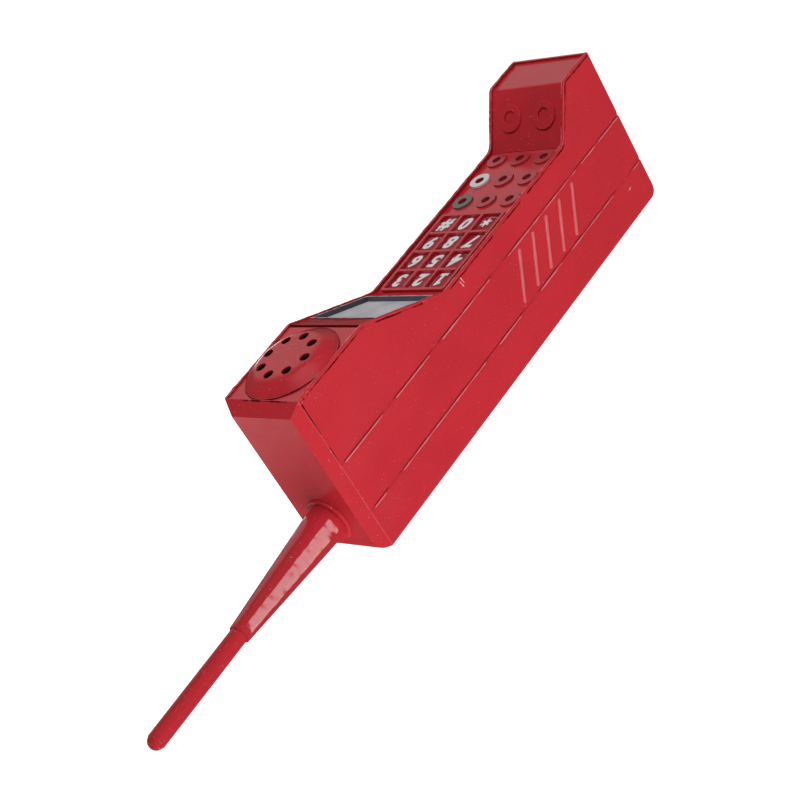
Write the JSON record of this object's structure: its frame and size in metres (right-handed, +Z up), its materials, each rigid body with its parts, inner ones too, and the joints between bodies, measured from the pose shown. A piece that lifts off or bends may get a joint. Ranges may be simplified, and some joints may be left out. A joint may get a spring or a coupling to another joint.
{
  "type": "toy cell phone",
  "caption": "Brick-shaped toy mobile telephone in painted sheet metal, with number keys, round buttons, sunken screen, domed earpiece and a push-in antenna.",
  "frame": {"origin": "centre of the footprint's box on the surface that the phone stands on", "axes": "+Z up towards the antenna, -Y towards the keys and screen, X across the width"},
  "size_m": [0.041, 0.076, 0.326],
  "materials": {
    "red_paint": "thick glossy red enamel over folded steel sheet, with paint beads at the rims",
    "key_red": "satin red",
    "button_red": "glossy red",
    "button_white": "glossy off-white",
    "button_grey": "glossy grey-green",
    "decal": "printed white numerals with a grey border",
    "bezel_grey": "dark grey paint",
    "pane_grey": "pale grey pane",
    "silicone": "moulded silicone",
    "board_green": "solder mask",
    "black_plastic": "moulded",
    "steel": "zinc plated",
    "brass": "turned",
    "cell_case": "plain printed sleeve over the cell",
    "wire_red": "insulated wire",
    "wire_black": "insulated wire"
  },
  "bodies": {
    "case": {"side_plate_left": "red_paint", "side_plate_right": "red_paint", "grip_ribs_left": "red_paint", "grip_ribs_right": "red_paint", "back_cover": "red_paint", "back_cover_brackets": "steel", "back_cover_screws": "steel", "top_cap": "red_paint", "mouthpiece_panel": "red_paint", "mouthpiece_rings": "red_paint", "keypad_plate": "red_paint", "key_grid": "red_paint", "key_membrane": "silicone", "circuit_board": "board_green", "board_parts": "black_plastic", "board_rails": "steel", "board_screws": "steel", "display_panel": "red_paint", "display_bezel": "bezel_grey", "display_lens": "pane_grey", "ear_panel": "red_paint", "earpiece_dome": "red_paint", "speaker": "black_plastic", "speaker_clamp": "steel", "speaker_screws": "steel", "antenna_collar": "red_paint", "antenna_cone": "red_paint", "antenna_guide": "brass", "battery_holder": "black_plastic", "batteries": "cell_case", "battery_contacts": "steel", "speaker_lead_red": "wire_red", "speaker_lead_black": "wire_black", "battery_lead_red": "wire_red", "battery_lead_black": "wire_black"},
    "antenna": {"antenna_tube": "red_paint", "antenna_tip": "red_paint"},
    "battery_cover": {"battery_cover": "red_paint", "battery_cover_screws": "steel"},
    "key_star": {"key_star": "key_red"},
    "key_0": {"key_0": "key_red"},
    "key_hash": {"key_hash": "key_red"},
    "key_7": {"key_7": "key_red"},
    "key_8": {"key_8": "key_red"},
    "key_9": {"key_9": "key_red"},
    "key_4": {"key_4": "key_red"},
    "key_5": {"key_5": "key_red"},
    "key_6": {"key_6": "key_red"},
    "key_1": {"key_1": "key_red"},
    "key_2": {"key_2": "key_red"},
    "key_3": {"key_3": "key_red"},
    "function_button_1": {"function_button_1": "button_red"},
    "function_button_2": {"function_button_2": "button_red"},
    "function_button_3": {"function_button_3": "button_red"},
    "function_button_4": {"function_button_4": "button_red"},
    "function_button_5": {"function_button_5": "button_red"},
    "function_button_6": {"function_button_6": "button_white"},
    "function_button_7": {"function_button_7": "button_red"},
    "function_button_8": {"function_button_8": "button_red"},
    "function_button_9": {"function_button_9": "button_grey"}
  },
  "joints": [
    {"name": "antenna_slide", "type": "slide", "parent": "case", "child": "antenna", "axis": [0, 0, 1], "range_m": [-0.052, 0]},
    {"name": "battery_cover_lift", "type": "slide", "parent": "case", "child": "battery_cover", "axis": [0, 1, 0], "range_m": [0, 0.025]},
    {"name": "key_star_press", "type": "slide", "parent": "case", "child": "key_star", "axis": [0, 1, 0], "range_m": [0, 0.0008], "stiffness_N_per_m": 600, "springref_m": -0.0005},
    {"name": "key_0_press", "type": "slide", "parent": "case", "child": "key_0", "axis": [0, 1, 0], "range_m": [0, 0.0008], "stiffness_N_per_m": 600, "springref_m": -0.0005},
    {"name": "key_hash_press", "type": "slide", "parent": "case", "child": "key_hash", "axis": [0, 1, 0], "range_m": [0, 0.0008], "stiffness_N_per_m": 600, "springref_m": -0.0005},
    {"name": "key_7_press", "type": "slide", "parent": "case", "child": "key_7", "axis": [0, 1, 0], "range_m": [0, 0.0008], "stiffness_N_per_m": 600, "springref_m": -0.0005},
    {"name": "key_8_press", "type": "slide", "parent": "case", "child": "key_8", "axis": [0, 1, 0], "range_m": [0, 0.0008], "stiffness_N_per_m": 600, "springref_m": -0.0005},
    {"name": "key_9_press", "type": "slide", "parent": "case", "child": "key_9", "axis": [0, 1, 0], "range_m": [0, 0.0008], "stiffness_N_per_m": 600, "springref_m": -0.0005},
    {"name": "key_4_press", "type": "slide", "parent": "case", "child": "key_4", "axis": [0, 1, 0], "range_m": [0, 0.0008], "stiffness_N_per_m": 600, "springref_m": -0.0005},
    {"name": "key_5_press", "type": "slide", "parent": "case", "child": "key_5", "axis": [0, 1, 0], "range_m": [0, 0.0008], "stiffness_N_per_m": 600, "springref_m": -0.0005},
    {"name": "key_6_press", "type": "slide", "parent": "case", "child": "key_6", "axis": [0, 1, 0], "range_m": [0, 0.0008], "stiffness_N_per_m": 600, "springref_m": -0.0005},
    {"name": "key_1_press", "type": "slide", "parent": "case", "child": "key_1", "axis": [0, 1, 0], "range_m": [0, 0.0008], "stiffness_N_per_m": 600, "springref_m": -0.0005},
    {"name": "key_2_press", "type": "slide", "parent": "case", "child": "key_2", "axis": [0, 1, 0], "range_m": [0, 0.0008], "stiffness_N_per_m": 600, "springref_m": -0.0005},
    {"name": "key_3_press", "type": "slide", "parent": "case", "child": "key_3", "axis": [0, 1, 0], "range_m": [0, 0.0008], "stiffness_N_per_m": 600, "springref_m": -0.0005},
    {"name": "function_button_1_press", "type": "slide", "parent": "case", "child": "function_button_1", "axis": [0, 1, 0], "range_m": [0, 0.0007], "stiffness_N_per_m": 600, "springref_m": -0.0005},
    {"name": "function_button_2_press", "type": "slide", "parent": "case", "child": "function_button_2", "axis": [0, 1, 0], "range_m": [0, 0.0007], "stiffness_N_per_m": 600, "springref_m": -0.0005},
    {"name": "function_button_3_press", "type": "slide", "parent": "case", "child": "function_button_3", "axis": [0, 1, 0], "range_m": [0, 0.0007], "stiffness_N_per_m": 600, "springref_m": -0.0005},
    {"name": "function_button_4_press", "type": "slide", "parent": "case", "child": "function_button_4", "axis": [0, 1, 0], "range_m": [0, 0.0007], "stiffness_N_per_m": 600, "springref_m": -0.0005},
    {"name": "function_button_5_press", "type": "slide", "parent": "case", "child": "function_button_5", "axis": [0, 1, 0], "range_m": [0, 0.0007], "stiffness_N_per_m": 600, "springref_m": -0.0005},
    {"name": "function_button_6_press", "type": "slide", "parent": "case", "child": "function_button_6", "axis": [0, 1, 0], "range_m": [0, 0.0007], "stiffness_N_per_m": 600, "springref_m": -0.0005},
    {"name": "function_button_7_press", "type": "slide", "parent": "case", "child": "function_button_7", "axis": [0, 1, 0], "range_m": [0, 0.0007], "stiffness_N_per_m": 600, "springref_m": -0.0005},
    {"name": "function_button_8_press", "type": "slide", "parent": "case", "child": "function_button_8", "axis": [0, 1, 0], "range_m": [0, 0.0007], "stiffness_N_per_m": 600, "springref_m": -0.0005},
    {"name": "function_button_9_press", "type": "slide", "parent": "case", "child": "function_button_9", "axis": [0, 1, 0], "range_m": [0, 0.0007], "stiffness_N_per_m": 600, "springref_m": -0.0005}
  ]
}
